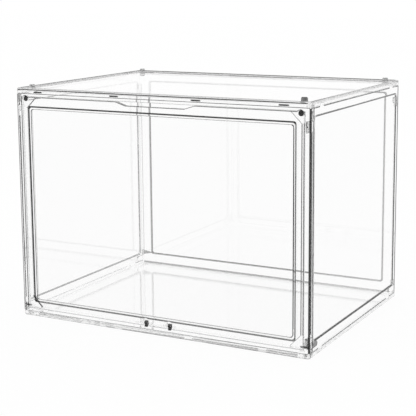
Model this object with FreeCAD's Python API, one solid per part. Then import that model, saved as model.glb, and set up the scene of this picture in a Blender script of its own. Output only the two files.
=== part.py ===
import FreeCAD, Part
import math
import os

from FreeCAD import Placement, Rotation, Vector

# Clear snap-together display case with a drop-front door, in millimetres.
# Origin at the middle of the underside, +X to the right, +Y to the back, +Z up.
# "Depth" below is measured inwards from the outer face of the case.

# Case envelope
CASE_WIDTH = 410.0
CASE_DEPTH = 300.0
CASE_HEIGHT = 300.0
CORNER_RADIUS = 4.5
SEAT_GAP = 0.2
EDGE_EASE = 0.8

# Top panel
TOP_PLATE = 2.0
TOP_EDGE_ROUND = 2.6
TOP_LIP_WIDTH = 4.0
TOP_LIP_HEIGHT = 1.8
TOP_LIP_EASE = 0.6
TOP_TRAY_RADIUS = 2.0
SKIRT_WALL = 2.2
SKIRT_HEIGHT = 7.6
RIB_WALL = 1.6
RIB_HEIGHT = 3.4
STUD_DIAMETER = 8.0
STUD_HEIGHT = 3.4
STUD_EASE = 1.0
STUD_INSET = 15.0

# Base panel
FLOOR_PLATE = 4.4
RIM_HEIGHT = 6.4
GROOVE_FLOOR = 1.2
BASE_EDGE_EASE = 0.8
SOCKET_GAP = 0.3

# Walls: a thin pane inside a thick border, with a thin tongue above and below
WALL_INSET = 0.5
WALL_BORDER = 4.0
PANE = 2.0
PANE_DEPTH = 1.0
STEP_WIDTH = 2.0
WINDOW_RADIUS = 3.5
TONGUE_END_INSET = 4.0
SIDE_BORDER_FRONT = 3.2
SIDE_BORDER_REAR = 5.4
SIDE_BORDER_TOP = 8.9
SIDE_BORDER_BOTTOM = 11.0
BACK_BORDER_SIDE = 18.7
BACK_BORDER_TOP = 8.9
BACK_BORDER_BOTTOM = 12.2
BACK_EDGE_ROUND = 2.4

# Snap bumps of the front frame and back panel, in slots of the skirt and rim
BUMP_INSET = 34.0
BUMP_WIDTH = 12.4
BUMP_HEIGHT = 1.9
BUMP_REACH = 1.4
TOP_BUMP_DROP = 5.2
BASE_BUMP_RISE = 2.6
SLOT_GAP = 0.25

# Arched keys of the side panels, in notches of the skirt and rim
KEY_INSET = 32.0
KEY_WIDTH = 12.0
KEY_HEIGHT = 3.4
KEY_ROUND = 3.2
KEY_GAP = 0.3

# Prongs that hook the side panels into the front frame and the back panel
PRONG_WALL = 2.4
PRONG_DEPTH = 4.3
PRONG_SETBACK = 0.4
PRONG_ROOT = 2.0
UPPER_PRONG_DROP = 29.0
UPPER_PRONG_LENGTH = 13.6
UPPER_PAD_DROP = 26.6
UPPER_PAD_HEIGHT = 8.0
UPPER_PAD_LENGTH = 8.0
LOWER_PRONG_RISE = 20.6
LOWER_PRONG_LENGTH = 8.0
LOWER_PAD_RISE = 12.9
LOWER_PAD_HEIGHT = 6.6
LOWER_PAD_LENGTH = 18.0
PAD_ROUND_SHARE = 0.46

# Front frame
FRAME_DEPTH = 8.3
STILE_WIDTH = 7.9
TOP_RAIL = 3.4
BOTTOM_RAIL = 4.1
LIP_REACH = 5.6
GUSSET_LEG = 15.0
FRAME_EDGE_ROUND = 2.0

# Door
DOOR_GAP = 0.3
DOOR_THICKNESS = 5.0
DOOR_PANE = 2.0
DOOR_PANE_DEPTH = 1.0
DOOR_BORDER_SIDE = 9.4
DOOR_BORDER_TOP = 11.3
DOOR_BORDER_BOTTOM = 7.9
DOOR_BEVEL = 4.6
DOOR_LEAD_WIDTH = 2.0
DOOR_LEAD_DEPTH = 0.5
DOOR_CREASE = 0.8
DOOR_REAR_STEP = 0.6
NOTCH_WIDTH = 110.0
NOTCH_DEPTH = 4.4
NOTCH_SLOPE = 14.0
NOTCH_ROUND = 7.0
EAR_RADIUS = 4.4
EAR_SIDE_INSET = 5.0
EAR_TOP_INSET = 2.2

# Magnets
MAGNET_DIAMETER = 6.8
MAGNET_THICKNESS = 2.0
MAGNET_GAP = 0.05

# Hinge
PIN_DIAMETER = 2.0
PIN_RUNNING_GAP = 0.05
PIN_IN_DOOR = 4.0
PIN_IN_STILE = 4.6
PIN_END_EASE = 0.3
BUSH_DIAMETER = 3.8
BUSH_LENGTH = 5.4
CLIP_OFFSET = 16.8
CLIP_WIDTH = 3.4
CLIP_EYE_RADIUS = 2.9
CLIP_STEM = 3.6
CLIP_SEAT_DEPTH = 2.2
CLIP_SIDE_GAP = 2.7
CLIP_RELIEF_HEIGHT = 6.2
CLIP_RELIEF_ROUND_SHARE = 0.46
CENTER_PIN_IN_DOOR = 4.4

# Derived places
HALF_WIDTH = CASE_WIDTH / 2
HALF_DEPTH = CASE_DEPTH / 2
SKIRT_BOTTOM = CASE_HEIGHT - SKIRT_HEIGHT
PLATE_TOP = CASE_HEIGHT - TOP_LIP_HEIGHT
PLATE_UNDERSIDE = PLATE_TOP - TOP_PLATE
WALL_BOTTOM = RIM_HEIGHT + SEAT_GAP
WALL_TOP = SKIRT_BOTTOM - SEAT_GAP
TONGUE_TOP = PLATE_UNDERSIDE - SEAT_GAP
TONGUE_OUTER = SKIRT_WALL + SEAT_GAP
WALL_INNER = WALL_INSET + WALL_BORDER
RIB_OUTER = WALL_INNER + SEAT_GAP
STUD_X = HALF_WIDTH - STUD_INSET
STUD_Y = HALF_DEPTH - STUD_INSET
SOCKET_DIAMETER = STUD_DIAMETER + 2 * SOCKET_GAP
SOCKET_DEPTH = STUD_HEIGHT + SOCKET_GAP

FRAME_INNER = WALL_INSET + FRAME_DEPTH
OPENING_X = HALF_WIDTH - WALL_INSET - STILE_WIDTH
OPENING_BOTTOM = WALL_BOTTOM + BOTTOM_RAIL
OPENING_TOP = WALL_TOP - TOP_RAIL
LIP_X = OPENING_X - LIP_REACH
LIP_FRONT = WALL_INSET + DOOR_THICKNESS + DOOR_GAP

DOOR_X = OPENING_X - DOOR_GAP
DOOR_BOTTOM = OPENING_BOTTOM + DOOR_GAP
DOOR_TOP = OPENING_TOP - DOOR_GAP
DOOR_BACK = WALL_INSET + DOOR_THICKNESS
HINGE_DEPTH = WALL_INSET + DOOR_THICKNESS / 2
HINGE_Z = DOOR_BOTTOM + DOOR_THICKNESS / 2
EAR_X = DOOR_X - EAR_SIDE_INSET
EAR_Z = DOOR_TOP - EAR_TOP_INSET

PRONG_MIDDLE = PRONG_DEPTH + PRONG_WALL / 2
PRONG_HEIGHTS = (
    (CASE_HEIGHT - UPPER_PRONG_DROP, UPPER_PRONG_LENGTH),
    (LOWER_PRONG_RISE, LOWER_PRONG_LENGTH),
)
PAD_HEIGHTS = (
    (CASE_HEIGHT - UPPER_PAD_DROP, UPPER_PAD_HEIGHT, UPPER_PAD_LENGTH),
    (LOWER_PAD_RISE, LOWER_PAD_HEIGHT, LOWER_PAD_LENGTH),
)
OUTER_BUMP_X = HALF_WIDTH - BUMP_INSET
BUMP_PLACES = (-OUTER_BUMP_X, -OUTER_BUMP_X / 3, OUTER_BUMP_X / 3, OUTER_BUMP_X)
TOP_BUMP_Z = CASE_HEIGHT - TOP_BUMP_DROP
KEY_PLACES = (KEY_INSET - HALF_DEPTH, HALF_DEPTH - KEY_INSET)

OVERSHOOT = 1.0


# Shape helpers

def block(x, y, z):
    """Box between pairs of limits along X, Y and Z."""
    return Part.makeBox(x[1] - x[0], y[1] - y[0], z[1] - z[0], Vector(x[0], y[0], z[0]))


def outline(corners, place):
    """Closed wire through (u, v, radius) corners, rounded by tangent arcs; place maps (u, v) to space."""
    stretches = []
    for index, (u, v, radius) in enumerate(corners):
        here = Vector(u, v, 0)
        before = Vector(*corners[index - 1][:2], 0).sub(here).normalize()
        after = Vector(*corners[(index + 1) % len(corners)][:2], 0).sub(here).normalize()
        half_turn = before.getAngle(after) / 2
        setback = radius / math.tan(half_turn)
        inward = (before + after).normalize()
        middle = here + inward * (radius / math.sin(half_turn) - radius)
        stretches.append((here + before * setback, middle, here + after * setback, radius))

    def at(point):
        return place(point.x, point.y)

    edges = []
    for index, (start, middle, end, radius) in enumerate(stretches):
        if radius > 0:
            edges.append(Part.Arc(at(start), at(middle), at(end)).toShape())
        following = stretches[(index + 1) % len(stretches)][0]
        if end.distanceToPoint(following) > 1e-6:
            edges.append(Part.LineSegment(at(end), at(following)).toShape())
    return Part.Wire(edges)


def rectangle(u, v, radius=0.0):
    """Corners of a rectangle between limits u and v, all with one radius."""
    return [(u[0], v[0], radius), (u[1], v[0], radius), (u[1], v[1], radius), (u[0], v[1], radius)]


def slab(corners, z):
    """Solid with an outline in plan, between two heights."""
    wire = outline(corners, lambda x, y: Vector(x, y, z[0]))
    return Part.Face(wire).extrude(Vector(0, 0, z[1] - z[0]))


def sheet(corners, y):
    """Solid with an outline in the XZ plane, between two depths."""
    wire = outline(corners, lambda x, z: Vector(x, y[0], z))
    return Part.Face(wire).extrude(Vector(0, y[1] - y[0], 0))


def bar(corners, x):
    """Solid with an outline in the YZ plane, between two places along X."""
    wire = outline(corners, lambda y, z: Vector(x[0], y, z))
    return Part.Face(wire).extrude(Vector(x[1] - x[0], 0, 0))


def stepped_pocket(rings):
    """Pocket in the XZ plane through (corners, depth) rings, from its mouth to its floor."""
    wires = []
    for corners, depth in rings:
        wires.append(outline(corners, lambda x, z, y=depth: Vector(x, y, z)))
    return Part.makeLoft(wires, True, True)


def rod_x(diameter, x, y, z):
    """Cylinder along X."""
    return Part.makeCylinder(diameter / 2, x[1] - x[0], Vector(x[0], y, z), Vector(1, 0, 0))


def rod_y(diameter, x, y, z):
    """Cylinder along Y."""
    return Part.makeCylinder(diameter / 2, y[1] - y[0], Vector(x, y[0], z), Vector(0, 1, 0))


def rod_z(diameter, x, y, z):
    """Cylinder along Z."""
    return Part.makeCylinder(diameter / 2, z[1] - z[0], Vector(x, y, z[0]), Vector(0, 0, 1))


def span(middle, size):
    """Pair of limits of a size about a middle."""
    return (middle - size / 2, middle + size / 2)


def grown(limits, margin):
    """Pair of limits moved out by a margin."""
    return (limits[0] - margin, limits[1] + margin)


def join(shape, *others):
    """One solid from several that meet."""
    return shape.fuse(list(others)).removeSplitter()


def mirrored(shape):
    """Left-hand copy of a right-hand shape."""
    return shape.mirror(Vector(0, 0, 0), Vector(1, 0, 0))


def both_sides(shape):
    """A right-hand shape and its left-hand copy."""
    return [shape, mirrored(shape)]


def round_edges(shape, radius, wanted):
    """Fillet the edges that a test picks."""
    return shape.makeFillet(radius, [edge for edge in shape.Edges if wanted(edge)])


def ease_edges(shape, size, wanted):
    """Chamfer the edges that a test picks."""
    return shape.makeChamfer(size, [edge for edge in shape.Edges if wanted(edge)])


def lies_level_at(z):
    """Test for edges that lie at one height."""
    return lambda edge: abs(edge.BoundBox.ZMin - z) < 1e-6 and abs(edge.BoundBox.ZMax - z) < 1e-6


def lies_level_inside(z, x, y):
    """Test for edges that lie at one height inside a rectangle in plan."""
    def test(edge):
        box = edge.BoundBox
        inside = abs(box.Center.x) < x[1] + 1e-6 and abs(box.Center.y) < y[1] + 1e-6
        return inside and lies_level_at(z)(edge)
    return test


def lies_at_depth(y):
    """Test for edges that lie in one plane across the depth."""
    return lambda edge: abs(edge.BoundBox.YMin - y) < 1e-6 and abs(edge.BoundBox.YMax - y) < 1e-6


def stands_at(x, y):
    """Test for upright edges at a place in plan, on either side of the middle."""
    def test(edge):
        box = edge.BoundBox
        upright = box.ZLength > 1.0 and box.XLength < 1e-6 and box.YLength < 1e-6
        return upright and abs(abs(box.XMin) - x) < 1e-6 and abs(box.YMin - y) < 1e-6
    return test


# A wall is drawn facing the front: X along it, Y the depth from the outer face, Z up.
# Each wall is then turned to its own side of the case.

def to_front(shape):
    """Move a wall to the front of the case."""
    shape.translate(Vector(0, -HALF_DEPTH, 0))
    return shape


def to_back(shape):
    """Turn a wall to the back of the case."""
    shape.Placement = Placement(Vector(0, HALF_DEPTH, 0), Rotation(Vector(0, 0, 1), 180))
    return shape


def to_right(shape):
    """Turn a wall to the right of the case, where its X runs along the case's Y."""
    shape.Placement = Placement(Vector(HALF_WIDTH, 0, 0), Rotation(Vector(0, 0, 1), 90))
    return shape


def tongues(x):
    """Thin strips above and below a wall, which stand in the skirt and in the groove."""
    depth = (TONGUE_OUTER, WALL_INNER)
    upper = block(x, depth, (WALL_TOP - OVERSHOOT, TONGUE_TOP))
    lower = block(x, depth, (GROOVE_FLOOR, WALL_BOTTOM + OVERSHOOT))
    return [upper, lower]


def snap_bumps(height, depth, margin):
    """Bars along X at each snap place of one height, with a margin all round in the XZ plane."""
    z = grown(span(height, BUMP_HEIGHT), margin)
    return [block(grown(span(place, BUMP_WIDTH), margin), depth, z) for place in BUMP_PLACES]


def frame_bumps():
    """Snap bumps above and below a wall, on its tongues."""
    depth = (TONGUE_OUTER - BUMP_REACH, WALL_INNER)
    return snap_bumps(TOP_BUMP_Z, depth, 0.0) + snap_bumps(BASE_BUMP_RISE, depth, 0.0)


def standing_keys(depth, margin):
    """Arched blocks that stand up into the skirt at each key place."""
    foot = WALL_TOP - OVERSHOOT
    crown = SKIRT_BOTTOM + KEY_HEIGHT + margin
    keys = []
    for place in KEY_PLACES:
        left, right = grown(span(place, KEY_WIDTH), margin)
        arch = [(left, foot, 0), (right, foot, 0), (right, crown, KEY_ROUND), (left, crown, KEY_ROUND)]
        keys.append(sheet(arch, depth))
    return keys


def hanging_keys(depth, margin):
    """Arched blocks that hang down into the rim at each key place."""
    foot = WALL_BOTTOM + OVERSHOOT
    crown = RIM_HEIGHT - KEY_HEIGHT - margin
    keys = []
    for place in KEY_PLACES:
        left, right = grown(span(place, KEY_WIDTH), margin)
        arch = [(left, crown, KEY_ROUND), (right, crown, KEY_ROUND), (right, foot, 0), (left, foot, 0)]
        keys.append(sheet(arch, depth))
    return keys


def wall_pockets(x, z):
    """Pockets in both faces of a wall, which leave a thin pane inside the border."""
    mouth = rectangle(x, z, WINDOW_RADIUS)
    floor = rectangle(grown(x, -STEP_WIDTH), grown(z, -STEP_WIDTH), WINDOW_RADIUS)
    outer = [(mouth, WALL_INSET), (floor, WALL_INSET + PANE_DEPTH)]
    inner = [(mouth, WALL_INNER), (floor, WALL_INSET + PANE_DEPTH + PANE)]
    return [stepped_pocket(outer), stepped_pocket(inner)]


def prong_slots(depth):
    """Slots through a wall for the prongs of the right and left side panels."""
    slots = []
    for height, length in PRONG_HEIGHTS:
        width = PRONG_WALL + 2 * SEAT_GAP
        x = span(HALF_WIDTH - PRONG_MIDDLE, width)
        z = span(height, length + 2 * SEAT_GAP)
        slots += both_sides(sheet(rectangle(x, z, width / 2), depth))
    return slots


# Pieces

def make_top_panel():
    """Lid plate with a raised lip and a skirt all round, a locating rib underneath and stacking studs."""
    x = (-HALF_WIDTH, HALF_WIDTH)
    y = (-HALF_DEPTH, HALF_DEPTH)
    lid = slab(rectangle(x, y, CORNER_RADIUS), (SKIRT_BOTTOM, CASE_HEIGHT))
    lid = round_edges(lid, TOP_EDGE_ROUND, lies_level_at(CASE_HEIGHT))
    lid = ease_edges(lid, EDGE_EASE, lies_level_at(SKIRT_BOTTOM))
    inner_radius = CORNER_RADIUS - SKIRT_WALL
    hollow = slab(
        rectangle(grown(x, -SKIRT_WALL), grown(y, -SKIRT_WALL), inner_radius),
        (SKIRT_BOTTOM - OVERSHOOT, PLATE_UNDERSIDE),
    )
    tray_x = grown(x, -TOP_LIP_WIDTH)
    tray_y = grown(y, -TOP_LIP_WIDTH)
    tray = slab(rectangle(tray_x, tray_y, TOP_TRAY_RADIUS), (PLATE_TOP, CASE_HEIGHT + OVERSHOOT))
    lid = lid.cut([hollow, tray])
    for height in (CASE_HEIGHT, PLATE_TOP):
        lid = ease_edges(lid, TOP_LIP_EASE, lies_level_inside(height, tray_x, tray_y))

    rib_z = (PLATE_UNDERSIDE - RIB_HEIGHT, PLATE_UNDERSIDE)
    rib_x = grown(x, -RIB_OUTER)
    rib_y = grown(y, -RIB_OUTER)
    rib = block(rib_x, rib_y, rib_z)
    rib = rib.cut(block(grown(rib_x, -RIB_WALL), grown(rib_y, -RIB_WALL), grown(rib_z, OVERSHOOT)))

    studs = []
    for stud_x in (-STUD_X, STUD_X):
        for stud_y in (-STUD_Y, STUD_Y):
            stud = rod_z(STUD_DIAMETER, stud_x, stud_y, (PLATE_TOP, CASE_HEIGHT + STUD_HEIGHT))
            studs.append(ease_edges(stud, STUD_EASE, lies_level_at(CASE_HEIGHT + STUD_HEIGHT)))
    lid = join(lid, rib, *studs)

    through = (-OVERSHOOT, SKIRT_WALL + SEAT_GAP / 2)
    cuts = [to_front(slot) for slot in snap_bumps(TOP_BUMP_Z, through, SLOT_GAP)]
    cuts += [to_back(slot) for slot in snap_bumps(TOP_BUMP_Z, through, SLOT_GAP)]
    for notch in standing_keys(through, KEY_GAP):
        cuts += both_sides(to_right(notch))
    return lid.cut(cuts)


def make_base_panel():
    """Floor plate with a low rim, a groove for the walls between them, and sockets underneath."""
    x = (-HALF_WIDTH, HALF_WIDTH)
    y = (-HALF_DEPTH, HALF_DEPTH)
    tray = slab(rectangle(x, y, CORNER_RADIUS), (0, RIM_HEIGHT))
    tray = ease_edges(tray, BASE_EDGE_EASE, lies_level_at(0))
    tray = ease_edges(tray, EDGE_EASE, lies_level_at(RIM_HEIGHT))
    inner_radius = CORNER_RADIUS - SKIRT_WALL
    inside = rectangle(grown(x, -SKIRT_WALL), grown(y, -SKIRT_WALL), inner_radius)
    groove = slab(inside, (GROOVE_FLOOR, RIM_HEIGHT + OVERSHOOT))
    floor = block(grown(x, -RIB_OUTER), grown(y, -RIB_OUTER), (0, FLOOR_PLATE))
    tray = join(tray.cut(groove), floor)

    cuts = []
    for socket_x in (-STUD_X, STUD_X):
        for socket_y in (-STUD_Y, STUD_Y):
            cuts.append(rod_z(SOCKET_DIAMETER, socket_x, socket_y, (-OVERSHOOT, SOCKET_DEPTH)))
    through = (-OVERSHOOT, SKIRT_WALL + SEAT_GAP / 2)
    cuts += [to_front(slot) for slot in snap_bumps(BASE_BUMP_RISE, through, SLOT_GAP)]
    cuts += [to_back(slot) for slot in snap_bumps(BASE_BUMP_RISE, through, SLOT_GAP)]
    for notch in hanging_keys(through, KEY_GAP):
        cuts += both_sides(to_right(notch))
    return tray.cut(cuts)


def make_back_panel():
    """Full-width back wall with a pane, snap bumps, and slots for the side panels' prongs."""
    reach = HALF_WIDTH - WALL_INSET
    wall = block((-reach, reach), (WALL_INSET, WALL_INNER), (WALL_BOTTOM, WALL_TOP))
    wall = round_edges(wall, BACK_EDGE_ROUND, stands_at(reach, WALL_INSET))
    wall = ease_edges(wall, EDGE_EASE, stands_at(reach, WALL_INNER))
    tongue_reach = HALF_WIDTH - TONGUE_OUTER - TONGUE_END_INSET
    wall = join(wall, *tongues((-tongue_reach, tongue_reach)), *frame_bumps())

    window_x = HALF_WIDTH - WALL_INSET - BACK_BORDER_SIDE
    window_z = (WALL_BOTTOM + BACK_BORDER_BOTTOM, WALL_TOP - BACK_BORDER_TOP)
    slots = prong_slots((WALL_INSET - OVERSHOOT, WALL_INNER + OVERSHOOT))
    return to_back(wall.cut(wall_pockets((-window_x, window_x), window_z) + slots))


def pad_outline(root, reach, z):
    """Corners of a pad in the XZ plane, from its root at a wall's end to its round nose."""
    nose = (z[1] - z[0]) * PAD_ROUND_SHARE
    corners = [(root, z[0], 0), (root + reach, z[0], nose), (root + reach, z[1], nose), (root, z[1], 0)]
    return corners if reach > 0 else corners[::-1]


def make_right_panel():
    """Side wall with a pane, tongues, arched keys, and prongs into the front frame and the back panel."""
    front = FRAME_INNER + SEAT_GAP - HALF_DEPTH
    rear = HALF_DEPTH - WALL_INNER - SEAT_GAP
    wall = block((front, rear), (WALL_INSET, WALL_INNER), (WALL_BOTTOM, WALL_TOP))
    wall = ease_edges(wall, EDGE_EASE, lies_at_depth(WALL_INSET))
    tongue_x = (front + TONGUE_END_INSET / 2, rear - TONGUE_END_INSET / 2)
    key_depth = (WALL_INSET, WALL_INNER)
    keys = standing_keys(key_depth, 0.0) + hanging_keys(key_depth, 0.0)
    wall = join(wall, *tongues(tongue_x), *keys)

    window_x = (front + SIDE_BORDER_FRONT, rear - SIDE_BORDER_REAR)
    window_z = (WALL_BOTTOM + SIDE_BORDER_BOTTOM, WALL_TOP - SIDE_BORDER_TOP)
    wall = wall.cut(wall_pockets(window_x, window_z))

    hooks = []
    depth = (PRONG_DEPTH, PRONG_DEPTH + PRONG_WALL)
    front_tip = WALL_INSET + PRONG_SETBACK - HALF_DEPTH
    rear_tip = HALF_DEPTH - WALL_INSET - PRONG_SETBACK
    for height, length in PRONG_HEIGHTS:
        section = rectangle(depth, span(height, length), PRONG_WALL / 2)
        hooks.append(bar(section, (front_tip, front + PRONG_ROOT)))
        hooks.append(bar(section, (rear - PRONG_ROOT, rear_tip)))
    pad_depth = (WALL_INSET + PANE_DEPTH + PANE / 2, PRONG_DEPTH + PRONG_WALL)
    for height, tall, length in PAD_HEIGHTS:
        pad_z = span(height, tall)
        hooks.append(sheet(pad_outline(front, length, pad_z), pad_depth))
        hooks.append(sheet(pad_outline(rear, -length, pad_z), pad_depth))
    return to_right(join(wall, *hooks))


def make_front_frame():
    """Door frame: stiles, rails, a stop lip with gussets, and seats for magnets, bushes and clips."""
    reach = HALF_WIDTH - WALL_INSET
    frame = block((-reach, reach), (WALL_INSET, FRAME_INNER), (WALL_BOTTOM, WALL_TOP))
    frame = round_edges(frame, FRAME_EDGE_ROUND, stands_at(reach, WALL_INSET))
    frame = ease_edges(frame, EDGE_EASE, stands_at(reach, FRAME_INNER))
    tongue_reach = HALF_WIDTH - TONGUE_OUTER - TONGUE_END_INSET
    frame = join(frame, *tongues((-tongue_reach, tongue_reach)), *frame_bumps())

    opening_x = (-OPENING_X, OPENING_X)
    opening_z = (OPENING_BOTTOM, OPENING_TOP)
    door_zone = block(opening_x, (-OVERSHOOT, LIP_FRONT), opening_z)
    door_zone = ease_edges(door_zone, EDGE_EASE, stands_at(OPENING_X, LIP_FRONT))
    wide_mouth = rectangle(grown(opening_x, EDGE_EASE), grown(opening_z, EDGE_EASE))
    mouth = [(wide_mouth, WALL_INSET), (rectangle(opening_x, opening_z), WALL_INSET + EDGE_EASE)]
    cuts = [door_zone, stepped_pocket(mouth)]
    cuts.append(sheet(lip_opening(0.0), (LIP_FRONT - OVERSHOOT, FRAME_INNER + OVERSHOOT)))
    for face, inner in ((LIP_FRONT, LIP_FRONT + EDGE_EASE), (FRAME_INNER, FRAME_INNER - EDGE_EASE)):
        cuts.append(stepped_pocket([(lip_opening(EDGE_EASE), face), (lip_opening(0.0), inner)]))

    scallop = 2 * (EAR_RADIUS + DOOR_GAP)
    seat = MAGNET_DIAMETER + 2 * MAGNET_GAP
    cuts += both_sides(rod_y(scallop, EAR_X, (-OVERSHOOT, LIP_FRONT), EAR_Z))
    cuts += both_sides(rod_y(seat, EAR_X, (LIP_FRONT - OVERSHOOT, LIP_FRONT + MAGNET_THICKNESS), EAR_Z))
    bush_x = (OPENING_X - OVERSHOOT, OPENING_X + BUSH_LENGTH)
    cuts += both_sides(rod_x(BUSH_DIAMETER, bush_x, HINGE_DEPTH, HINGE_Z))
    cuts += both_sides(clip_seat())
    cuts += prong_slots((-OVERSHOOT, FRAME_INNER + OVERSHOOT))
    return to_front(frame.cut(cuts))


def lip_opening(margin):
    """Corners of the opening inside the stop lip, cut off by the four gussets and moved out by a margin."""
    leg = GUSSET_LEG
    side = LIP_X + margin
    low = OPENING_BOTTOM
    high = OPENING_TOP
    right_half = [(side - leg, low), (side, low + leg), (side, high - leg), (side - leg, high)]
    left_half = [(-x, z) for x, z in reversed(right_half)]
    return [(x, z, 0) for x, z in right_half + left_half]


def clip_seat():
    """Mortise in the bottom rail for the stem of the right hinge clip."""
    return block(
        span(CLIP_OFFSET, CLIP_WIDTH),
        span(HINGE_DEPTH, CLIP_STEM),
        (OPENING_BOTTOM - CLIP_SEAT_DEPTH, OPENING_BOTTOM + OVERSHOOT),
    )


def make_door_panel():
    """Drop-front door: bevelled border, thin pane, finger notch, magnet ears and a round hinge edge."""
    radius = DOOR_THICKNESS / 2
    depth = (WALL_INSET, DOOR_BACK)
    front_foot = Vector(-DOOR_X, depth[0], HINGE_Z)
    front_top = Vector(-DOOR_X, depth[0], DOOR_TOP)
    back_top = Vector(-DOOR_X, depth[1], DOOR_TOP)
    back_foot = Vector(-DOOR_X, depth[1], HINGE_Z)
    lowest = Vector(-DOOR_X, HINGE_DEPTH, HINGE_Z - radius)
    profile = [
        Part.LineSegment(front_foot, front_top).toShape(),
        Part.LineSegment(front_top, back_top).toShape(),
        Part.LineSegment(back_top, back_foot).toShape(),
        Part.Arc(back_foot, lowest, front_foot).toShape(),
    ]
    door = Part.Face(Part.Wire(profile)).extrude(Vector(2 * DOOR_X, 0, 0))
    door = ease_edges(door, EDGE_EASE, lambda edge: is_door_rim(edge, depth))
    door = join(door, *both_sides(rod_y(2 * EAR_RADIUS, EAR_X, depth, EAR_Z)))
    cuts = door_pockets()

    notch_top = NOTCH_WIDTH / 2
    notch_foot = notch_top - NOTCH_SLOPE
    notch = [
        (-notch_top, DOOR_TOP, 0),
        (-notch_foot, DOOR_TOP - NOTCH_DEPTH, NOTCH_ROUND),
        (notch_foot, DOOR_TOP - NOTCH_DEPTH, NOTCH_ROUND),
        (notch_top, DOOR_TOP, 0),
        (notch_top, DOOR_TOP + OVERSHOOT, 0),
        (-notch_top, DOOR_TOP + OVERSHOOT, 0),
    ]
    cuts.append(sheet(notch, grown(depth, OVERSHOOT)))

    seat = MAGNET_DIAMETER + 2 * MAGNET_GAP
    cuts += both_sides(rod_y(seat, EAR_X, (DOOR_BACK - MAGNET_THICKNESS, DOOR_BACK + OVERSHOOT), EAR_Z))
    pin_x = (DOOR_X - PIN_IN_DOOR, DOOR_X + OVERSHOOT)
    cuts += both_sides(rod_x(PIN_DIAMETER, pin_x, HINGE_DEPTH, HINGE_Z))
    cuts += both_sides(rod_x(PIN_DIAMETER, center_pin_span(), HINGE_DEPTH, HINGE_Z))
    relief_x = span(CLIP_OFFSET, CLIP_WIDTH + 2 * CLIP_SIDE_GAP)
    relief_round = (relief_x[1] - relief_x[0]) * CLIP_RELIEF_ROUND_SHARE
    crown = HINGE_Z + CLIP_RELIEF_HEIGHT
    relief = [(relief_x[0], DOOR_BOTTOM - OVERSHOOT, 0), (relief_x[1], DOOR_BOTTOM - OVERSHOOT, 0)]
    relief += [(relief_x[1], crown, relief_round), (relief_x[0], crown, relief_round)]
    cuts += both_sides(sheet(relief, grown(depth, OVERSHOOT)))
    return to_front(door.cut(cuts))


def is_door_rim(edge, depth):
    """Test for the straight edges round the door's front and back faces."""
    box = edge.BoundBox
    in_face = box.YLength < 1e-6 and min(abs(box.YMin - face) for face in depth) < 1e-6
    return in_face and box.ZMax > HINGE_Z + OVERSHOOT


def door_pockets():
    """Pockets in both faces of the door: a wide bevel in front, a shallow step behind."""
    window_x = DOOR_X - DOOR_BORDER_SIDE
    window_z = (DOOR_BOTTOM + DOOR_BORDER_BOTTOM, DOOR_TOP - DOOR_BORDER_TOP)

    def ring(inset, depth):
        x = grown((-window_x, window_x), -inset)
        return rectangle(x, grown(window_z, -inset), WINDOW_RADIUS), depth

    pane_front = WALL_INSET + DOOR_PANE_DEPTH
    bevel = stepped_pocket([
        ring(0.0, WALL_INSET),
        ring(DOOR_LEAD_WIDTH, WALL_INSET + DOOR_LEAD_DEPTH),
        ring(DOOR_BEVEL - DOOR_CREASE, pane_front - DOOR_CREASE / 2),
        ring(DOOR_BEVEL, pane_front),
    ])
    step = stepped_pocket([
        ring(DOOR_BEVEL - DOOR_REAR_STEP, DOOR_BACK),
        ring(DOOR_BEVEL, pane_front + DOOR_PANE),
    ])
    return [bevel, step]


def center_pin_span():
    """Limits along X of the right center pin, which crosses the clip and ends in the door on both sides."""
    return span(CLIP_OFFSET, CLIP_WIDTH + 2 * CLIP_SIDE_GAP + 2 * CENTER_PIN_IN_DOOR)


def make_magnet(front):
    """Right-hand disc magnet with its front face at a depth."""
    return to_front(rod_y(MAGNET_DIAMETER, EAR_X, (front, front + MAGNET_THICKNESS), EAR_Z))


def make_pin(x):
    """Pin on the hinge axis, with its rims eased."""
    pin = rod_x(PIN_DIAMETER, x, HINGE_DEPTH, HINGE_Z)
    rims = [edge for edge in pin.Edges if edge.BoundBox.XLength < 1e-6]
    return to_front(pin.makeChamfer(PIN_END_EASE, rims))


def make_hinge_bush():
    """Right-hand pivot socket in the stile, blind at its outer end."""
    outer = (OPENING_X, OPENING_X + BUSH_LENGTH)
    bore = (OPENING_X - OVERSHOOT, OPENING_X + PIN_IN_STILE + PIN_RUNNING_GAP)
    bush = rod_x(BUSH_DIAMETER, outer, HINGE_DEPTH, HINGE_Z)
    return to_front(bush.cut(rod_x(PIN_DIAMETER + 2 * PIN_RUNNING_GAP, bore, HINGE_DEPTH, HINGE_Z)))


def make_hinge_clip():
    """Right-hand hinge clip: a stem in the bottom rail, and an eye round the center pin."""
    x = span(CLIP_OFFSET, CLIP_WIDTH)
    eye = rod_x(2 * CLIP_EYE_RADIUS, x, HINGE_DEPTH, HINGE_Z)
    stem = block(x, span(HINGE_DEPTH, CLIP_STEM), (OPENING_BOTTOM - CLIP_SEAT_DEPTH, HINGE_Z))
    bore = rod_x(PIN_DIAMETER + 2 * PIN_RUNNING_GAP, grown(x, OVERSHOOT), HINGE_DEPTH, HINGE_Z)
    return to_front(join(eye, stem).cut(bore))


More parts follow.
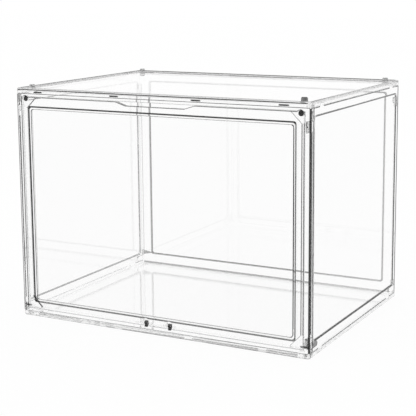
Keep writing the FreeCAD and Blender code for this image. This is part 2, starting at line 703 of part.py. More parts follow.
def make_pieces():
    """All pieces of the case by name."""
    hinge_pin = make_pin((DOOR_X - PIN_IN_DOOR, OPENING_X + PIN_IN_STILE))
    right_hand = {
        "frame_magnet": make_magnet(LIP_FRONT),
        "door_magnet": make_magnet(DOOR_BACK - MAGNET_THICKNESS),
        "hinge_bush": make_hinge_bush(),
        "hinge_clip": make_hinge_clip(),
        "hinge_pin": hinge_pin,
        "center_pin": make_pin(center_pin_span()),
    }
    right_panel = make_right_panel()
    pieces = {
        "base_panel": make_base_panel(),
        "top_panel": make_top_panel(),
        "back_panel": make_back_panel(),
        "right_panel": right_panel,
        "left_panel": mirrored(right_panel),
        "front_frame": make_front_frame(),
        "door_panel": make_door_panel(),
    }
    for name, shape in right_hand.items():
        pieces[name + "_right"] = shape
        pieces[name + "_left"] = mirrored(shape)
    return pieces


os.makedirs("parts", exist_ok=True)
for node, piece in make_pieces().items():
    solid = piece.Solids[0]
    print(node, "solids", len(piece.Solids), "valid", piece.isValid(), "volume", round(piece.Volume, 1))
    solid.exportStep("parts/" + node + ".step")
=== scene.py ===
import logging
import math
from dataclasses import dataclass
from enum import Enum

import bmesh
import bpy
from mathutils import Matrix, Vector


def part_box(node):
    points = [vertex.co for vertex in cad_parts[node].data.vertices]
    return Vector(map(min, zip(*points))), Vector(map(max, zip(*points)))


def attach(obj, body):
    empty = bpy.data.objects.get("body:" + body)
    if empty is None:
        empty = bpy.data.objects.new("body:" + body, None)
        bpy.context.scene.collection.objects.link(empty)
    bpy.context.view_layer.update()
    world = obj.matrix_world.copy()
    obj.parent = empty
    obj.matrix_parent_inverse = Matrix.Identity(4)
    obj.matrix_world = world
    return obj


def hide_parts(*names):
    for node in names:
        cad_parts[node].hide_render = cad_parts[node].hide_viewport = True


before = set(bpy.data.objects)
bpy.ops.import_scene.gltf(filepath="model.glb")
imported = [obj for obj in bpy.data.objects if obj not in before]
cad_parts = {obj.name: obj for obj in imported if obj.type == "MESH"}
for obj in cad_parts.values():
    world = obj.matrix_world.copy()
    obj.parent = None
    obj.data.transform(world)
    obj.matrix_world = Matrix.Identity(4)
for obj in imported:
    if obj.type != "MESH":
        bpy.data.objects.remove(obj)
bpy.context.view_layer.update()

# A clear snap-together display case with a drop-front door, dressed over its CAD frame. The narrow facets
# along its edges get darker clear materials than the sheets, a painted shade for the dark lines that
# refraction draws at edges, so the case is drawn in fine lines.

MM = 0.001
LOG = logging.getLogger("display_case")


Colour = tuple[float, float, float]


class Body(Enum):
    """Bodies of the frame that a piece can ride on."""

    CASE = "case"
    DOOR = "door"


class Slot(Enum):
    """Names of material slots, kept with each pair of round bars."""

    CLEAR = "clear_plastic"
    MAGNET = "magnet_steel"
    PIN = "pin_steel"


class Facing(Enum):
    """Which way an edge facet looks."""

    UP = "up"
    DOWN = "down"
    UPRIGHT = "upright"


class PaintedEdgeShade(Enum):
    """Painted shade on an edge facet of clear plastic, as the share of light that crosses it, from a pale
    line to a black one.
    """

    PALE = 0.8
    SOFT = 0.6
    GREY = 0.4
    DARK = 0.2
    BLACK = 0.03


class Face(Enum):
    """A face of a panel's box that a facet is measured from; SIDE is the nearer of left and right."""

    LEFT = "left"
    RIGHT = "right"
    SIDE = "side"
    FRONT = "front"
    BACK = "back"
    BOTTOM = "bottom"
    TOP = "top"


class NodeWiring:
    """Short-hand for wiring the nodes of one tree."""

    def __init__(self, tree: bpy.types.NodeTree) -> None:
        """Keep the tree and clear it."""
        self.tree = tree
        self.tree.nodes.clear()

    def add(self, kind: str, **values: object) -> bpy.types.Node:
        """Add a node and set its plain inputs.

        Args:
            kind: Blender's name of the node type.
            values: input values by name, with underscores for spaces.

        Returns:
            The new node.
        """
        node = self.tree.nodes.new(kind)
        for name, value in values.items():
            node.inputs[name.replace("_", " ")].default_value = value
        return node

    def join(self, source: bpy.types.NodeSocket, target: bpy.types.NodeSocket) -> None:
        """Link an output to an input."""
        self.tree.links.new(source, target)

    def calculate(self, operation: str, *values: object) -> bpy.types.NodeSocket:
        """Add a sum of sockets or numbers.

        Args:
            operation: name of the sum, such as MAXIMUM.
            values: sockets or numbers.

        Returns:
            The socket with the result.
        """
        node = self.add("ShaderNodeMath")
        node.operation = operation
        for index, value in enumerate(values):
            if isinstance(value, bpy.types.NodeSocket):
                self.join(value, node.inputs[index])
            else:
                node.inputs[index].default_value = value
        return node.outputs[0]


class ShaderTree(NodeWiring):
    """Wiring of a material or a world."""

    def noise(self, scale: float, detail: float) -> bpy.types.NodeSocket:
        """Noise over the piece's own coordinates.

        Args:
            scale: how many grains there are to a metre.
            detail: octaves of the noise.

        Returns:
            The socket with the noise, about 0 to 1.
        """
        place = self.add("ShaderNodeTexCoord")
        node = self.add("ShaderNodeTexNoise", Scale=scale, Detail=detail)
        self.join(place.outputs["Object"], node.inputs["Vector"])
        return node.outputs["Fac"]

    def between(self, value: bpy.types.NodeSocket, low: float, high: float) -> bpy.types.NodeSocket:
        """Spread a 0 to 1 value over a range.

        Args:
            value: the socket to spread.
            low: result at 0.
            high: result at 1.

        Returns:
            The socket with the result.
        """
        node = self.add("ShaderNodeMapRange", To_Min=low, To_Max=high)
        self.join(value, node.inputs["Value"])
        return node.outputs["Result"]

    def blend(self, value: bpy.types.NodeSocket, low: Colour, high: Colour) -> bpy.types.NodeSocket:
        """Blend two colours by a 0 to 1 value.

        Args:
            value: the socket that blends them.
            low: colour at 0.
            high: colour at 1.

        Returns:
            The socket with the colour.
        """
        node = self.add("ShaderNodeMix")
        node.data_type = "RGBA"
        share, first, second = (
            next(socket for socket in node.inputs if socket.identifier == name)
            for name in ("Factor_Float", "A_Color", "B_Color")
        )
        first.default_value = (*low, 1)
        second.default_value = (*high, 1)
        self.join(value, share)
        return next(socket for socket in node.outputs if socket.identifier == "Result_Color")

    def roughen(self, height: bpy.types.NodeSocket, depth: float, strength: float) -> bpy.types.NodeSocket:
        """Turn a height into a bumpy normal.

        Args:
            height: the socket with the height.
            depth: distance between low and high.
            strength: how much of the bump shows.

        Returns:
            The socket with the normal.
        """
        node = self.add("ShaderNodeBump", Distance=depth, Strength=strength)
        self.join(height, node.inputs["Height"])
        return node.outputs["Normal"]


def new_material(name: str) -> tuple[bpy.types.Material, ShaderTree, bpy.types.Node]:
    """Start a material with a Principled shader.

    Args:
        name: name of the material.

    Returns:
        The material, its tree and its shader node.
    """
    material = bpy.data.materials.new(name)
    material.use_nodes = True
    tree = ShaderTree(material.node_tree)
    shader = tree.add("ShaderNodeBsdfPrincipled")
    output = tree.add("ShaderNodeOutputMaterial")
    tree.join(shader.outputs["BSDF"], output.inputs["Surface"])
    return material, tree, shader


@dataclass(frozen=True)
class ClearPlastic:
    """Water-clear moulded sheet with a faint flow ripple and a polish that varies.

    The shader takes the square root of its colour at each surface, so the colour is the square of the
    light that crosses one surface.
    """

    name: str
    crosses: float = 1.0
    ior: float = 1.49
    ripple_scale: float = 14.0
    ripple_detail: float = 1.0
    ripple_height: float = 0.004 * MM
    ripple_strength: float = 0.3
    polish_scale: float = 60.0
    polish_detail: float = 3.0
    polish: tuple[float, float] = (0.0, 0.008)

    def material(self) -> bpy.types.Material:
        """Make the material.

        Returns:
            The clear material.
        """
        material, tree, shader = new_material(self.name)
        colour = self.crosses ** 2
        shader.inputs["Base Color"].default_value = (colour, colour, colour, 1)
        shader.inputs["IOR"].default_value = self.ior
        shader.inputs["Transmission Weight"].default_value = 1.0
        polish = tree.noise(self.polish_scale, self.polish_detail)
        tree.join(tree.between(polish, *self.polish), shader.inputs["Roughness"])
        ripple = tree.noise(self.ripple_scale, self.ripple_detail)
        normal = tree.roughen(ripple, self.ripple_height, self.ripple_strength)
        tree.join(normal, shader.inputs["Normal"])
        return material


@dataclass(frozen=True)
class DarkPlastic:
    """Dark moulded plastic with a fine grain."""

    name: str
    dark: Colour = (0.012, 0.012, 0.013)
    light: Colour = (0.03, 0.03, 0.032)
    grain_scale: float = 900.0
    grain_detail: float = 4.0
    grain_height: float = 0.03 * MM
    grain_strength: float = 0.4
    polish: tuple[float, float] = (0.3, 0.5)

    def material(self) -> bpy.types.Material:
        """Make the material.

        Returns:
            The dark material.
        """
        material, tree, shader = new_material(self.name)
        grain = tree.noise(self.grain_scale, self.grain_detail)
        tree.join(tree.blend(grain, self.dark, self.light), shader.inputs["Base Color"])
        tree.join(tree.between(grain, *self.polish), shader.inputs["Roughness"])
        normal = tree.roughen(grain, self.grain_height, self.grain_strength)
        tree.join(normal, shader.inputs["Normal"])
        return material


@dataclass(frozen=True)
class Steel:
    """Plated or plain steel with fine turning marks."""

    name: str
    dark: Colour
    light: Colour
    mark_scale: float = 1400.0
    mark_detail: float = 5.0
    polish: tuple[float, float] = (0.22, 0.42)

    def material(self) -> bpy.types.Material:
        """Make the material.

        Returns:
            The metal.
        """
        material, tree, shader = new_material(self.name)
        shader.inputs["Metallic"].default_value = 1.0
        marks = tree.noise(self.mark_scale, self.mark_detail)
        tree.join(tree.blend(marks, self.dark, self.light), shader.inputs["Base Color"])
        tree.join(tree.between(marks, *self.polish), shader.inputs["Roughness"])
        return material


class Palette:
    """All finishes of the case, made once."""

    def __init__(self) -> None:
        """Make the materials."""
        self.clear = ClearPlastic("clear_plastic", crosses=0.994).material()
        # The edge materials are the clear plastic made darker: painted shade for the narrow facets.
        self.edges = {
            shade: ClearPlastic(f"clear_painted_shade_edge_{shade.name.lower()}", crosses=shade.value).material()
            for shade in PaintedEdgeShade
        }
        self.clip = ClearPlastic("smoked_clip", crosses=0.25).material()
        self.bush = DarkPlastic("bush_plastic").material()
        self.magnet = Steel("magnet_plating", (0.03, 0.03, 0.032), (0.09, 0.09, 0.095)).material()
        self.pin = Steel("pin_steel", (0.08, 0.08, 0.082), (0.2, 0.2, 0.205)).material()

    def panel_slots(self) -> list[bpy.types.Material]:
        """Materials of a moulded panel: the clear sheet, then each painted edge shade."""
        return [self.clear, *(self.edges[shade] for shade in PaintedEdgeShade)]


Reach = tuple[tuple[Face, float], ...]


def within(**limits: float) -> Reach:
    """Distances from named faces of a panel's box, given in millimetres."""
    return tuple((Face[name.upper()], limit * MM) for name, limit in limits.items())


@dataclass(frozen=True)
class PaintedShadeZone:
    """Painted shade of the narrow facets in one part of a panel, given by distances from the faces of its
    box.

    A zone without a shade leaves its facets clear.
    """

    shade: PaintedEdgeShade | None
    facing: Facing | None = None
    near: Reach = ()
    far: Reach = ()
    widest: float = 1.7 * MM

    def holds(self, place: dict[Face, float], facing: Facing, width: float) -> bool:
        """Say whether a facet belongs to the zone.

        Args:
            place: distances of the facet's middle from the faces of the box.
            facing: which way it looks.
            width: width of its strip.

        Returns:
            True if the zone sets its shade.
        """
        if width > self.widest or self.facing not in (None, facing):
            return False
        inside = all(place[face] <= limit for face, limit in self.near)
        return inside and all(place[face] > limit for face, limit in self.far)


@dataclass
class MouldedPanel:
    """A clear moulded panel over its CAD node: merged faces, even shading and painted shade on its edges.
    """

    node: str
    body: Body
    zones: tuple[PaintedShadeZone, ...]
    in_groove: bool = False
    eased: Reach = ()
    ease: float = 0.8 * MM
    square_angle: float = math.radians(60.0)
    merge_gap: float = 0.002 * MM
    flat_angle: float = math.radians(1.0)
    sharp_angle: float = math.radians(20.0)
    short_facet: float = 6.0 * MM
    upward: float = 0.35
    parting: float = 0.05 * MM
    flatness: int = 100
    same_area: float = 0.001

    def __post_init__(self) -> None:
        """Look up the lowest and highest corners of the panel's box once."""
        self.low, self.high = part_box(self.node)

    def build(self, palette: Palette) -> bpy.types.Object:
        """Make the panel and put it in place of its CAD node.

        Args:
            palette: the finishes.

        Returns:
            The finished panel.
        """
        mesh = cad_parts[self.node].data.copy()
        mesh.materials.clear()
        for material in palette.panel_slots():
            mesh.materials.append(material)
        sheet = bmesh.new()
        sheet.from_mesh(mesh)
        bmesh.ops.remove_doubles(sheet, verts=sheet.verts, dist=self.merge_gap)
        bmesh.ops.dissolve_degenerate(sheet, dist=self.merge_gap, edges=sheet.edges)
        bmesh.ops.dissolve_limit(
            sheet, angle_limit=self.flat_angle, verts=sheet.verts, edges=sheet.edges
        )
        if self.in_groove:
            self.part_from_groove(sheet)
        if self.eased:
            self.ease_edges(sheet)
        sheet.normal_update()
        self.paint_edge_shade(sheet)
        sheet.to_mesh(mesh)
        sheet.free()
        panel = bpy.data.objects.new(f"{self.node}_moulded", mesh)
        bpy.context.scene.collection.objects.link(panel)
        self.even_normals(panel)
        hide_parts(self.node)
        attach(panel, self.body.value)
        LOG.info("%s: %d faces", panel.name, len(panel.data.polygons))
        return panel

    def part_from_groove(self, sheet: bmesh.types.BMesh) -> None:
        """Raise the foot of a wall by a hair, so that light meets it and the groove one at a time.

        Args:
            sheet: mesh of the panel.
        """
        foot = self.low.z
        for corner in sheet.verts:
            if corner.co.z < foot + self.parting:
                corner.co.z += self.parting

    def ease_edges(self, sheet: bmesh.types.BMesh) -> None:
        """Ease the square edges that lie within given distances from the faces of the panel's box.

        Args:
            sheet: mesh of the panel.
        """
        sheet.normal_update()
        square = [edge for edge in sheet.edges if edge.calc_face_angle(0.0) > self.square_angle]
        square = [edge for edge in square if all(self.near_rim(corner.co) for corner in edge.verts)]
        bmesh.ops.bevel(sheet, geom=square, offset=self.ease, segments=1, affect="EDGES")

    def near_rim(self, point: Vector) -> bool:
        """Say whether a corner lies where square edges are eased."""
        place = self.place_of(point)
        return all(place[face] <= limit for face, limit in self.eased)

    def place_of(self, point: Vector) -> dict[Face, float]:
        """Measure a point from the faces of the panel's box.

        Args:
            point: the point.

        Returns:
            Its distance from each face.
        """
        low = point - self.low
        high = self.high - point
        return {
            Face.LEFT: low.x,
            Face.RIGHT: high.x,
            Face.SIDE: min(low.x, high.x),
            Face.FRONT: low.y,
            Face.BACK: high.y,
            Face.BOTTOM: low.z,
            Face.TOP: high.z,
        }

    def paint_edge_shade(self, sheet: bmesh.types.BMesh) -> None:
        """Give narrow facets a darker edge material, a painted shade, and mark the sharp edges.

        Args:
            sheet: mesh of the panel.
        """
        painted_shades = [None, *PaintedEdgeShade]
        for facet in sheet.faces:
            facet.smooth = True
            facet.material_index = painted_shades.index(self.painted_edge_shade(facet))
        for edge in sheet.edges:
            edge.smooth = edge.calc_face_angle(0.0) < self.sharp_angle

    def strip_width(self, facet: bmesh.types.BMFace) -> float:
        """Width of the strip that a facet belongs to: across a long facet, along a short one on a curve."""
        longest = max(edge.calc_length() for edge in facet.edges)
        return longest if longest < self.short_facet else 2 * facet.calc_area() / facet.calc_perimeter()

    def painted_edge_shade(self, facet: bmesh.types.BMFace) -> PaintedEdgeShade | None:
        """Look up the painted shade of a facet.

        Args:
            facet: the facet.

        Returns:
            The painted shade of the first zone that holds it, or None for the clear sheet.
        """
        facing = Facing.UPRIGHT
        if abs(facet.normal.z) > self.upward:
            facing = Facing.UP if facet.normal.z > 0 else Facing.DOWN
        place = self.place_of(facet.calc_center_median())
        width = self.strip_width(facet)
        return next((zone.shade for zone in self.zones if zone.holds(place, facing, width)), None)

    def even_normals(self, panel: bpy.types.Object) -> None:
        """Keep wide faces flat in the shading, and bake the result.

        Args:
            panel: the panel's object.
        """
        weighted = panel.modifiers.new("even", "WEIGHTED_NORMAL")
        weighted.mode = "FACE_AREA"
        weighted.weight = self.flatness
        weighted.thresh = self.same_area
        weighted.keep_sharp = True
        seen = panel.evaluated_get(bpy.context.evaluated_depsgraph_get())
        mesh = bpy.data.meshes.new_from_object(seen)
        panel.modifiers.clear()
        panel.data = mesh


@dataclass
class CaseShell:
    """The fixed panels: lid, base, back, sides and door frame."""

    # Each table paints shade on narrow facets, darker or paler by where they sit and which way they face,
    # in place of the lines that refraction draws.
    top: tuple[PaintedShadeZone, ...] = (
        # Stacking studs: painted shade on the eased tops, then on the round sides, darker on the one
        # nearest the camera.
        PaintedShadeZone(PaintedEdgeShade.BLACK, near=within(top=1.1, right=30.0, front=30.0)),
        PaintedShadeZone(PaintedEdgeShade.GREY, near=within(top=1.1)),
        PaintedShadeZone(PaintedEdgeShade.GREY, near=within(top=3.3, right=30.0, front=30.0), widest=4.5 * MM),
        PaintedShadeZone(PaintedEdgeShade.PALE, near=within(top=3.3), widest=4.5 * MM),
        # Raised lip on the left and at the back: painted shade on its mouth, none on its inner wall, then
        # on its foot and its round outside.
        PaintedShadeZone(PaintedEdgeShade.BLACK, near=within(top=4.0, left=4.5), far=within(left=3.0)),
        PaintedShadeZone(PaintedEdgeShade.BLACK, near=within(top=4.0, back=4.5), far=within(back=3.0)),
        PaintedShadeZone(None, near=within(top=4.5, left=4.5), far=within(left=3.0)),
        PaintedShadeZone(None, near=within(top=4.5, back=4.5), far=within(back=3.0)),
        PaintedShadeZone(PaintedEdgeShade.SOFT, near=within(top=5.3, left=5.0), far=within(left=3.0)),
        PaintedShadeZone(PaintedEdgeShade.SOFT, near=within(top=5.3, back=5.0), far=within(back=3.0)),
        PaintedShadeZone(PaintedEdgeShade.SOFT, near=within(top=6.1, left=2.7)),
        PaintedShadeZone(PaintedEdgeShade.SOFT, near=within(top=6.1, back=2.7)),
        # Raised lip on the right and at the front: painted shade on its round outside only.
        PaintedShadeZone(PaintedEdgeShade.SOFT, near=within(top=3.8, right=2.7)),
        PaintedShadeZone(None, near=within(right=5.0), far=within(bottom=1.0)),
        PaintedShadeZone(PaintedEdgeShade.SOFT, near=within(top=3.8, front=2.7)),
        PaintedShadeZone(None, near=within(top=5.0)),
        PaintedShadeZone(PaintedEdgeShade.BLACK, near=within(top=6.1, front=2.7)),
        # Lower edge of the skirt: painted shade, darker at the front than on the right.
        PaintedShadeZone(PaintedEdgeShade.BLACK, Facing.DOWN, near=within(bottom=1.0, front=1.0)),
        PaintedShadeZone(PaintedEdgeShade.SOFT, Facing.DOWN, near=within(bottom=1.0, right=1.0)),
    )
    base: tuple[PaintedShadeZone, ...] = (
        # Painted shade on the rims: paler on the upward facets than the downward ones, and darker on the
        # right than at the front.
        PaintedShadeZone(PaintedEdgeShade.SOFT, Facing.UP, near=within(top=1.0, front=1.0)),
        PaintedShadeZone(PaintedEdgeShade.GREY, Facing.UP, near=within(top=1.0, right=1.0)),
        PaintedShadeZone(PaintedEdgeShade.GREY, Facing.DOWN, near=within(bottom=1.0, front=1.0)),
        PaintedShadeZone(PaintedEdgeShade.DARK, Facing.DOWN, near=within(bottom=1.0, right=1.0)),
    )
    back: tuple[PaintedShadeZone, ...] = (
        # Painted shade on the upright ends, then on the step round the pane; the tongues at the top and
        # bottom stay clear.
        PaintedShadeZone(PaintedEdgeShade.DARK, near=within(side=2.6)),
        PaintedShadeZone(None, near=within(top=16.0)),
        PaintedShadeZone(None, near=within(bottom=10.0)),
        PaintedShadeZone(PaintedEdgeShade.GREY, widest=3.2 * MM),
    )
    left: tuple[PaintedShadeZone, ...] = (
        # Painted shade on the outer front edge behind the stile, then on the step round the pane.
        PaintedShadeZone(None, near=within(top=16.0)),
        PaintedShadeZone(None, near=within(bottom=10.0)),
        PaintedShadeZone(PaintedEdgeShade.BLACK, near=within(left=1.0, front=8.9), far=within(front=8.2)),
        PaintedShadeZone(PaintedEdgeShade.GREY, Facing.UP, widest=3.2 * MM),
        PaintedShadeZone(PaintedEdgeShade.PALE, near=within(back=14.0), widest=3.2 * MM),
    )
    right: tuple[PaintedShadeZone, ...] = (
        # Painted shade on the lower front pad, the edge behind the stile, then the step round the pane.
        PaintedShadeZone(
            PaintedEdgeShade.BLACK,
            near=within(bottom=16.0, front=28.0),
            far=within(bottom=7.0, front=8.0),
            widest=6.0 * MM,
        ),
        PaintedShadeZone(PaintedEdgeShade.BLACK, near=within(front=8.9), far=within(front=8.2)),
        PaintedShadeZone(None, near=within(top=10.0)),
        PaintedShadeZone(None, near=within(bottom=10.0)),
        PaintedShadeZone(PaintedEdgeShade.BLACK, Facing.DOWN, widest=3.2 * MM),
        PaintedShadeZone(PaintedEdgeShade.DARK, Facing.UP, widest=3.2 * MM),
        PaintedShadeZone(PaintedEdgeShade.SOFT, widest=3.2 * MM),
    )
    door_frame: tuple[PaintedShadeZone, ...] = (
        # The front face is flat, though it is narrow enough to pass for an edge.
        PaintedShadeZone(None, near=within(front=0.005)),
        # Painted shade on the round outer edges of the stiles, and on the edge behind the left one.
        PaintedShadeZone(PaintedEdgeShade.BLACK, near=within(right=2.2, front=2.2)),
        PaintedShadeZone(PaintedEdgeShade.BLACK, near=within(left=2.2, front=0.6)),
        PaintedShadeZone(PaintedEdgeShade.GREY, near=within(left=2.2, front=2.2)),
        PaintedShadeZone(PaintedEdgeShade.BLACK, near=within(left=1.0), far=within(front=7.0)),
        PaintedShadeZone(None, near=within(side=2.2)),
        # The stop lip inside the stiles gets painted shade on the right alone.
        PaintedShadeZone(None, near=within(left=20.0), far=within(front=1.5)),
        PaintedShadeZone(None, near=within(right=10.0), far=within(front=1.5)),
        PaintedShadeZone(PaintedEdgeShade.BLACK, near=within(right=20.0), far=within(front=1.5)),
        # Painted shade on the snap bumps at the top and bottom, the mouth of the opening, then the stop lip
        # on the rails.
        PaintedShadeZone(PaintedEdgeShade.BLACK, near=within(front=1.2, top=4.0), widest=2.5 * MM),
        PaintedShadeZone(PaintedEdgeShade.PALE, near=within(front=1.2, bottom=4.0), widest=2.5 * MM),
        PaintedShadeZone(PaintedEdgeShade.DARK, Facing.UPRIGHT, near=within(front=1.0)),
        PaintedShadeZone(PaintedEdgeShade.SOFT, near=within(front=1.0)),
        PaintedShadeZone(PaintedEdgeShade.DARK, far=within(front=4.0, top=8.0, bottom=8.0)),
    )

    def build(self, palette: Palette) -> list[bpy.types.Object]:
        """Make all fixed panels.

        Args:
            palette: the finishes.

        Returns:
            The panels.
        """
        panels = (
            MouldedPanel("base_panel", Body.CASE, self.base),
            MouldedPanel("back_panel", Body.CASE, self.back, in_groove=True),
            MouldedPanel("left_panel", Body.CASE, self.left, in_groove=True),
            MouldedPanel("right_panel", Body.CASE, self.right, in_groove=True),
            MouldedPanel("front_frame", Body.CASE, self.door_frame, in_groove=True),
            MouldedPanel("top_panel", Body.CASE, self.top),
        )
        return [panel.build(palette) for panel in panels]


@dataclass
class Door:
    """The drop-front door panel."""

    notch_rim: Reach = within(front=0.01, top=7.0)
    zones: tuple[PaintedShadeZone, ...] = (
        # Painted shade on the top rim and finger notch, then on the other rims.
        PaintedShadeZone(PaintedEdgeShade.BLACK, Facing.UP, near=within(top=1.0)),
        PaintedShadeZone(PaintedEdgeShade.DARK, Facing.UP, near=within(top=7.4), widest=9.0 * MM),
        PaintedShadeZone(PaintedEdgeShade.PALE, near=within(side=1.5)),
        PaintedShadeZone(None, near=within(bottom=5.0)),
        # Painted shade on the bevel from the border to the pane, and on the crease at its foot.
        PaintedShadeZone(PaintedEdgeShade.BLACK, Facing.UPRIGHT, near=within(front=0.4, left=14.0), widest=3.2 * MM),
        PaintedShadeZone(PaintedEdgeShade.BLACK, near=within(front=0.4, top=16.0), far=within(top=8.0), widest=3.2 * MM),
        PaintedShadeZone(PaintedEdgeShade.DARK, near=within(front=0.4), far=within(top=8.0), widest=3.2 * MM),
        PaintedShadeZone(PaintedEdgeShade.BLACK, Facing.UPRIGHT, near=within(front=1.1), far=within(front=0.65)),
        PaintedShadeZone(PaintedEdgeShade.GREY, near=within(front=1.1), far=within(front=0.65)),
    )

    def build(self, palette: Palette) -> bpy.types.Object:
        """Make the door panel.

        Args:
            palette: the finishes.

        Returns:
            The panel.
        """
        return MouldedPanel("door_panel", Body.DOOR, self.zones, eased=self.notch_rim).build(palette)


class TurnedTree(NodeWiring):
    """Geometry Nodes tree that sets an eased round bar at each point of a mesh."""

    sockets = (
        ("Radius", "NodeSocketFloat"),
        ("Length", "NodeSocketFloat"),
        ("Ease", "NodeSocketFloat"),
        ("Sides", "NodeSocketInt"),
        ("Turn", "NodeSocketRotation"),
        ("Finish", "NodeSocketMaterial"),
    )

    def __init__(self, name: str) -> None:
        """Build the tree.

        Args:
            name: name of the tree.
        """
        super().__init__(bpy.data.node_groups.new(name, "GeometryNodeTree"))
        face = self.tree.interface
        face.new_socket("Places", in_out="INPUT", socket_type="NodeSocketGeometry")
        for label, kind in self.sockets:
            face.new_socket(label, in_out="INPUT", socket_type=kind)
        face.new_socket("Bars", in_out="OUTPUT", socket_type="NodeSocketGeometry")
        self.wire()

    def wire(self) -> None:
        """Wire the bar, its eased rims, and its copies.

        The bar starts as a cylinder whose caps have a middle ring at half the radius. The ring moves out
        to the eased rim's inner edge, and the outer rim moves in along the axis.
        """
        rings = 2
        ring_share = 1 / rings
        given = self.add("NodeGroupInput").outputs
        bar = self.add("GeometryNodeMeshCylinder")
        bar.fill_type = "TRIANGLE_FAN"
        bar.inputs["Fill Segments"].default_value = rings
        self.join(given["Sides"], bar.inputs["Vertices"])
        self.join(given["Radius"], bar.inputs["Radius"])
        self.join(given["Length"], bar.inputs["Depth"])

        split = self.add("ShaderNodeSeparateXYZ")
        self.join(self.add("GeometryNodeInputPosition").outputs[0], split.inputs[0])
        x, y, z = split.outputs
        square = self.calculate("ADD", self.calculate("MULTIPLY", x, x), self.calculate("MULTIPLY", y, y))
        share = self.calculate("DIVIDE", self.calculate("SQRT", square), given["Radius"])
        is_rim = self.calculate("GREATER_THAN", share, (ring_share + 1.0) / 2)
        off_middle = self.calculate("GREATER_THAN", share, ring_share / 2)
        is_ring = self.calculate("SUBTRACT", off_middle, is_rim)
        inner = self.calculate("SUBTRACT", 1.0, self.calculate("DIVIDE", given["Ease"], given["Radius"]))
        spread = self.calculate("SUBTRACT", self.calculate("DIVIDE", inner, ring_share), 1.0)
        widen = self.calculate("ADD", 1.0, self.calculate("MULTIPLY", is_ring, spread))
        double_ease = self.calculate("MULTIPLY", given["Ease"], 2.0)
        drop = self.calculate("MULTIPLY", is_rim, self.calculate("DIVIDE", double_ease, given["Length"]))
        place = self.add("ShaderNodeCombineXYZ")
        self.join(self.calculate("MULTIPLY", x, widen), place.inputs[0])
        self.join(self.calculate("MULTIPLY", y, widen), place.inputs[1])
        self.join(self.calculate("MULTIPLY", z, self.calculate("SUBTRACT", 1.0, drop)), place.inputs[2])
        eased = self.add("GeometryNodeSetPosition")
        self.join(bar.outputs["Mesh"], eased.inputs["Geometry"])
        self.join(place.outputs[0], eased.inputs["Position"])

        copies = self.add("GeometryNodeInstanceOnPoints")
        self.join(given["Places"], copies.inputs["Points"])
        self.join(eased.outputs[0], copies.inputs["Instance"])
        self.join(given["Turn"], copies.inputs["Rotation"])
        real = self.add("GeometryNodeRealizeInstances")
        self.join(copies.outputs[0], real.inputs[0])
        finish = self.add("GeometryNodeSetMaterial")
        self.join(real.outputs[0], finish.inputs["Geometry"])
        self.join(given["Finish"], finish.inputs["Material"])
        self.join(finish.outputs[0], self.add("NodeGroupOutput").inputs[0])

    def set_input(self, modifier: bpy.types.Modifier, label: str, value: object) -> None:
        """Set a modifier's input by its socket identifier.

        Args:
            modifier: the Geometry Nodes modifier.
            label: name of the input.
            value: what to set.
        """
        items = self.tree.interface.items_tree
        socket = next(item for item in items if item.name == label and item.in_out == "INPUT")
        modifier[socket.identifier] = value


class Axis(Enum):
    """Direction of a round bar, with the turn from upright in radians."""

    X = (0.0, math.pi / 2, 0.0)
    Y = (math.pi / 2, 0.0, 0.0)


@dataclass
class RoundBars:
    """A pair of round bars, made by one Geometry Nodes tree at the places of their CAD nodes."""

    name: str
    nodes: tuple[str, ...]
    body: Body
    slot: Slot
    axis: Axis
    ease: float
    sides: int = 40
    sharp_angle: float = math.radians(30.0)

    def build(self, tree: TurnedTree, finish: bpy.types.Material) -> bpy.types.Object:
        """Make the bars and put them in place of their CAD nodes.

        Args:
            tree: the tree that makes the bars.
            finish: their material.

        Returns:
            The finished piece.
        """
        boxes = [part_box(node) for node in self.nodes]
        places = bpy.data.meshes.new(self.name)
        places.from_pydata([(low + high) / 2 for low, high in boxes], [], [])
        piece = bpy.data.objects.new(self.name, places)
        bpy.context.scene.collection.objects.link(piece)
        size = boxes[0][1] - boxes[0][0]
        length = size.x if self.axis is Axis.X else size.y
        modifier = piece.modifiers.new("turned", "NODES")
        modifier.node_group = tree.tree
        tree.set_input(modifier, "Radius", size.z / 2)
        tree.set_input(modifier, "Length", length)
        tree.set_input(modifier, "Ease", self.ease)
        tree.set_input(modifier, "Sides", self.sides)
        tree.set_input(modifier, "Turn", self.axis.value)
        tree.set_input(modifier, "Finish", finish)
        seen = piece.evaluated_get(bpy.context.evaluated_depsgraph_get())
        mesh = bpy.data.meshes.new_from_object(seen)
        piece.modifiers.clear()
        mesh.shade_smooth()
        mesh.set_sharp_from_angle(angle=self.sharp_angle)
        piece.data = mesh
        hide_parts(*self.nodes)
        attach(piece, self.body.value)
        LOG.info("%s: %d faces", piece.name, len(mesh.polygons))
        return piece


def pair(name: str) -> tuple[str, str]:
    """Names of a left and a right CAD node."""
    return f"{name}_left", f"{name}_right"


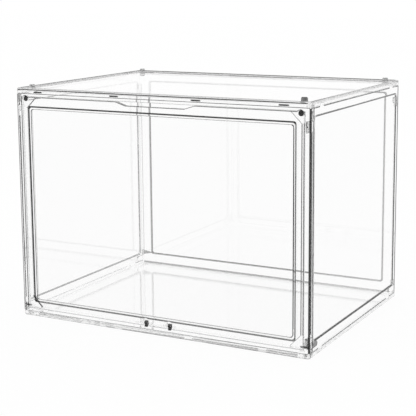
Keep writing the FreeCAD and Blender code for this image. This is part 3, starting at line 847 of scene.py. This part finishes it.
@dataclass
class Hardware:
    """Magnets, hinge pins, bushes and clips."""

    magnet_ease: float = 0.35 * MM
    pin_ease: float = 0.3 * MM
    clip_nodes: tuple[str, ...] = pair("hinge_clip")
    bush_nodes: tuple[str, ...] = pair("hinge_bush")

    def build(self, palette: Palette) -> list[bpy.types.Object]:
        """Make the turned pieces and dress the others.

        Args:
            palette: the finishes.

        Returns:
            The turned pieces.
        """
        tree = TurnedTree("eased_round_bars")
        pieces = [
            self.magnets("frame", Body.CASE).build(tree, palette.magnet),
            self.magnets("door", Body.DOOR).build(tree, palette.magnet),
            self.pins("hinge", Slot.PIN).build(tree, palette.pin),
            self.pins("center", Slot.CLEAR).build(tree, palette.clear),
        ]
        self.dress(self.clip_nodes, palette.clip)
        self.dress(self.bush_nodes, palette.bush)
        return pieces

    def magnets(self, part: str, body: Body) -> RoundBars:
        """Lay out the two disc magnets of the frame or the door."""
        nodes = pair(f"{part}_magnet")
        return RoundBars(f"{part}_magnets", nodes, body, Slot.MAGNET, Axis.Y, self.magnet_ease)

    def pins(self, part: str, slot: Slot) -> RoundBars:
        """Lay out the two pins at the door's corners or in the clips."""
        nodes = pair(f"{part}_pin")
        return RoundBars(f"{part}_pins", nodes, Body.DOOR, slot, Axis.X, self.pin_ease)

    def dress(self, nodes: tuple[str, ...], finish: bpy.types.Material) -> None:
        """Give CAD nodes a finish.

        Args:
            nodes: names of the nodes.
            finish: their material.
        """
        for node in nodes:
            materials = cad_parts[node].data.materials
            materials.clear()
            materials.append(finish)
            LOG.info("%s: dressed", node)


@dataclass
class Studio:
    """White floor, white surroundings, and the camera at the photograph's angle."""

    floor_size: float = 20.0
    floor_drop: float = 0.5 * MM
    floor_colour: float = 0.92
    floor_glow: float = 0.96
    light_paths: int = 128
    see_through: int = 64
    photo_width: float = 416.0
    focal_pixels: float = 1142.5
    sensor: float = 36.0
    yaw: float = math.radians(27.71)
    pitch: float = math.radians(9.65)
    roll: float = math.radians(-0.36)
    place: tuple[float, float, float] = (0.7035, -1.3193, 0.4392)
    shift_pixels: tuple[float, float] = (-12.0, -38.0)

    def build(self) -> None:
        """Make the floor, the world and the camera."""
        self.lay_floor()
        self.light()
        self.set_camera()
        scene = bpy.context.scene
        scene.view_settings.view_transform = "Standard"
        scene.cycles.max_bounces = self.light_paths
        scene.cycles.transmission_bounces = self.light_paths
        scene.cycles.glossy_bounces = self.light_paths
        scene.cycles.transparent_max_bounces = self.see_through

    def lay_floor(self) -> None:
        """Lay a pale floor that looks white, also through the plastic, and keeps a soft shadow."""
        half = self.floor_size / 2
        square = ((-half, -half), (half, -half), (half, half), (-half, half))
        corners = [(x, y, -self.floor_drop) for x, y in square]
        mesh = bpy.data.meshes.new("floor")
        mesh.from_pydata(corners, [], [(0, 1, 2, 3)])
        floor = bpy.data.objects.new("floor", mesh)
        bpy.context.scene.collection.objects.link(floor)
        material = bpy.data.materials.new("pale_floor")
        material.use_nodes = True
        tree = ShaderTree(material.node_tree)
        rays = tree.add("ShaderNodeLightPath").outputs
        seen = tree.calculate("MAXIMUM", rays["Is Camera Ray"], rays["Is Transmission Ray"])
        seen = tree.calculate("MAXIMUM", seen, rays["Is Glossy Ray"])
        share = tree.calculate("MULTIPLY", seen, self.floor_glow)
        shade = self.floor_colour
        plain = tree.add("ShaderNodeBsdfDiffuse", Color=(shade, shade, shade, 1))
        white = tree.add("ShaderNodeEmission", Color=(1, 1, 1, 1), Strength=1.0)
        mix = tree.add("ShaderNodeMixShader")
        tree.join(share, mix.inputs[0])
        tree.join(plain.outputs[0], mix.inputs[1])
        tree.join(white.outputs[0], mix.inputs[2])
        tree.join(mix.outputs[0], tree.add("ShaderNodeOutputMaterial").inputs["Surface"])
        mesh.materials.append(material)

    def light(self) -> None:
        """Light the case evenly from a white surround."""
        world = bpy.data.worlds.new("white_surround")
        world.use_nodes = True
        tree = ShaderTree(world.node_tree)
        white = tree.add("ShaderNodeBackground", Color=(1, 1, 1, 1), Strength=1.0)
        tree.join(white.outputs[0], tree.add("ShaderNodeOutputWorld").inputs["Surface"])
        bpy.context.scene.world = world

    def set_camera(self) -> None:
        """Set the camera where the photograph was taken."""
        back = Vector((
            math.sin(self.yaw) * math.cos(self.pitch),
            -math.cos(self.yaw) * math.cos(self.pitch),
            math.sin(self.pitch),
        ))
        right = Vector((math.cos(self.yaw), math.sin(self.yaw), 0.0))
        up = back.cross(right)
        tilted_right = right * math.cos(self.roll) + up * math.sin(self.roll)
        tilted_up = up * math.cos(self.roll) - right * math.sin(self.roll)
        turn = Matrix((tilted_right, tilted_up, back)).transposed()
        data = bpy.data.cameras.new("photo_camera")
        data.sensor_width = self.sensor
        data.lens = self.focal_pixels / self.photo_width * self.sensor
        data.shift_x, data.shift_y = (pixels / self.photo_width for pixels in self.shift_pixels)
        camera = bpy.data.objects.new("photo_camera", data)
        camera.matrix_world = Matrix.Translation(Vector(self.place)) @ turn.to_4x4()
        bpy.context.scene.collection.objects.link(camera)
        bpy.context.scene.camera = camera


def main() -> None:
    """Build and dress the case, then the studio."""
    logging.basicConfig(level=logging.INFO, format="%(name)s: %(message)s")
    palette = Palette()
    CaseShell().build(palette)
    Door().build(palette)
    Hardware().build(palette)
    Studio().build()


if __name__ == "__main__":
    main()
